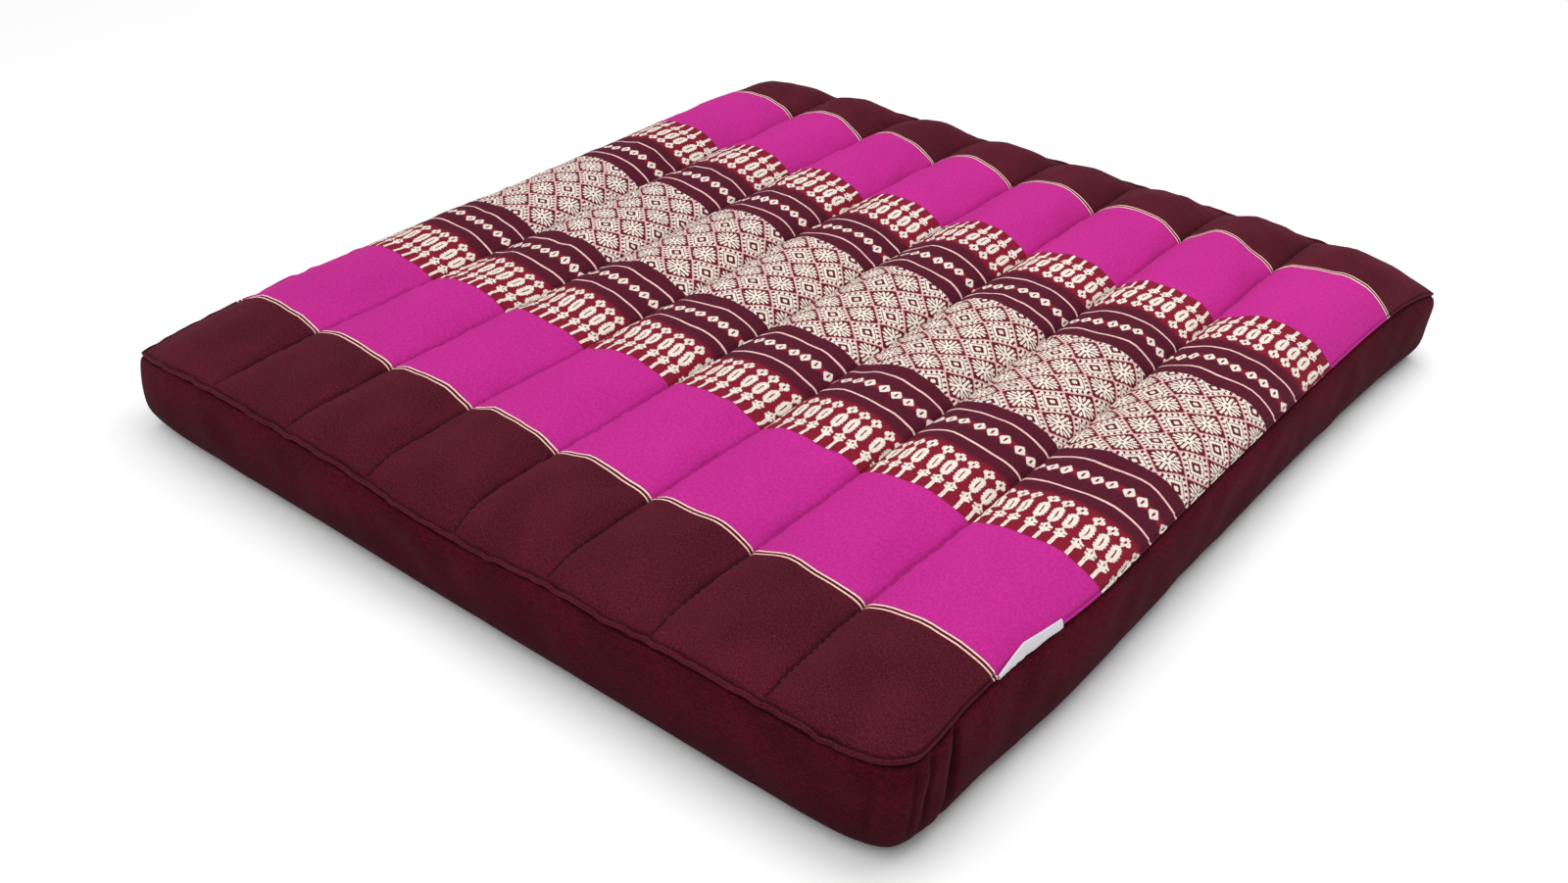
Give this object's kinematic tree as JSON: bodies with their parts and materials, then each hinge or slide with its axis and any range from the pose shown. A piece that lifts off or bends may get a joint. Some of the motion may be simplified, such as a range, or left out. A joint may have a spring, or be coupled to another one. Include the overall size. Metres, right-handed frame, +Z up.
{
  "type": "meditation cushion",
  "caption": "Flat boxed floor cushion of filled cotton with parallel sewn channels, a woven banded top and a blank label in its side seam.",
  "frame": {"origin": "middle of the base, on the surface that the cushion lies on", "axes": "+Z up, +X across the sewn channels, +Y along the channels from the front edge to the back edge"},
  "size_m": [0.516, 0.5516, 0.0693],
  "materials": {
    "cotton_cover": "matt handwoven cotton, burgundy with magenta and crimson-and-cream patterned bands on top",
    "label_tape": "smooth white woven tape, blank"
  },
  "bodies": {
    "root": {"cushion": "cotton_cover", "seam_label": "label_tape"}
  },
  "joints": []
}
